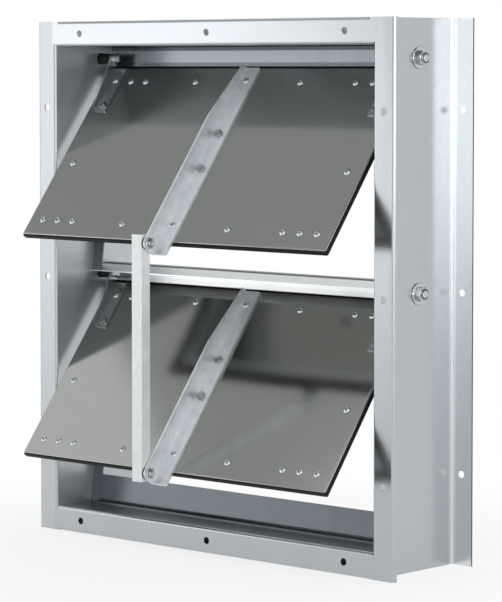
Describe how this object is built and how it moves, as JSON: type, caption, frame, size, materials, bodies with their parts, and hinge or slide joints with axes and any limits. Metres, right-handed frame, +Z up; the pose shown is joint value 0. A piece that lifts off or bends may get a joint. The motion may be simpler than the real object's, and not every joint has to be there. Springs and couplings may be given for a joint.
{
  "type": "backdraft damper",
  "caption": "Square gravity backdraft damper: flanged galvanised casing, hinged blades with rubber seals, levers tied by a link bar.",
  "frame": {"origin": "middle of the clear opening on the face of the front flange", "axes": "+X across the opening to the right seen from the front, +Y back through the casing, +Z up"},
  "size_m": [0.604, 0.2509, 0.664],
  "materials": {
    "galvanised_steel": "bright galvanised sheet, fine rolled grain",
    "blade_sheet": "smooth mill finish that mirrors its dark surroundings",
    "bright_aluminium": "bright mill finish with a lengthwise grain",
    "rivet_aluminium": "bright, slightly worn",
    "zinc_fasteners": "bright zinc plate",
    "seal_rubber": "matt black sponge rubber",
    "black_nylon": "satin black"
  },
  "bodies": {
    "casing": {"bottom_rail": "galvanised_steel", "bottom_stop_angle": "galvanised_steel", "hinge_bushes": "black_nylon", "hinge_nuts": "zinc_fasteners", "hinge_pins": "zinc_fasteners", "hinge_washers": "zinc_fasteners", "left_side_channel": "galvanised_steel", "lower_left_stop": "galvanised_steel", "lower_right_stop": "galvanised_steel", "mid_rail": "galvanised_steel", "right_side_channel": "galvanised_steel", "top_rail": "galvanised_steel", "top_stop_angle": "galvanised_steel", "upper_left_stop": "galvanised_steel", "upper_right_stop": "galvanised_steel"},
    "upper_blade": {"upper_blade_panel": "blade_sheet", "upper_blade_seal": "seal_rubber", "upper_bracket_bolts": "zinc_fasteners", "upper_bracket_nuts": "zinc_fasteners", "upper_bracket_rivets": "rivet_aluminium", "upper_left_bracket": "galvanised_steel", "upper_lever": "bright_aluminium", "upper_lever_bolts": "zinc_fasteners", "upper_lever_nuts": "zinc_fasteners", "upper_lever_rivets": "rivet_aluminium", "upper_link_nut": "zinc_fasteners", "upper_link_pin": "zinc_fasteners", "upper_link_spacer": "black_nylon", "upper_panel_rivets": "rivet_aluminium", "upper_right_bracket": "galvanised_steel", "upper_seal_retainer_bottom": "bright_aluminium", "upper_seal_retainer_left": "bright_aluminium", "upper_seal_retainer_right": "bright_aluminium", "upper_seal_retainer_top": "bright_aluminium"},
    "lower_blade": {"lower_blade_panel": "blade_sheet", "lower_blade_seal": "seal_rubber", "lower_bracket_bolts": "zinc_fasteners", "lower_bracket_nuts": "zinc_fasteners", "lower_bracket_rivets": "rivet_aluminium", "lower_left_bracket": "galvanised_steel", "lower_lever": "bright_aluminium", "lower_lever_bolts": "zinc_fasteners", "lower_lever_nuts": "zinc_fasteners", "lower_lever_rivets": "rivet_aluminium", "lower_link_nut": "zinc_fasteners", "lower_link_pin": "zinc_fasteners", "lower_link_spacer": "black_nylon", "lower_panel_rivets": "rivet_aluminium", "lower_right_bracket": "galvanised_steel", "lower_seal_retainer_bottom": "bright_aluminium", "lower_seal_retainer_left": "bright_aluminium", "lower_seal_retainer_right": "bright_aluminium", "lower_seal_retainer_top": "bright_aluminium"},
    "link": {"link_bar": "bright_aluminium"}
  },
  "joints": [
    {"name": "upper_blade_hinge", "type": "hinge", "parent": "casing", "child": "upper_blade", "pos_m": [0, 0.083, 0.284], "axis": [-1, 0, 0], "range_deg": [-29.2, 35]},
    {"name": "lower_blade_hinge", "type": "hinge", "parent": "casing", "child": "lower_blade", "pos_m": [0, 0.083, 0.002], "axis": [-1, 0, 0], "range_deg": [-29.2, 35]},
    {"name": "link_hinge", "type": "hinge", "parent": "upper_blade", "child": "link", "pos_m": [-0.0137, -0.09187, 0.05892], "axis": [-1, 0, 0], "range_deg": [-35, 29.2]}
  ],
  "couplings": [
    {"joint": "lower_blade_hinge", "follows": "upper_blade_hinge", "ratio": 1},
    {"joint": "link_hinge", "follows": "upper_blade_hinge", "ratio": -1}
  ]
}
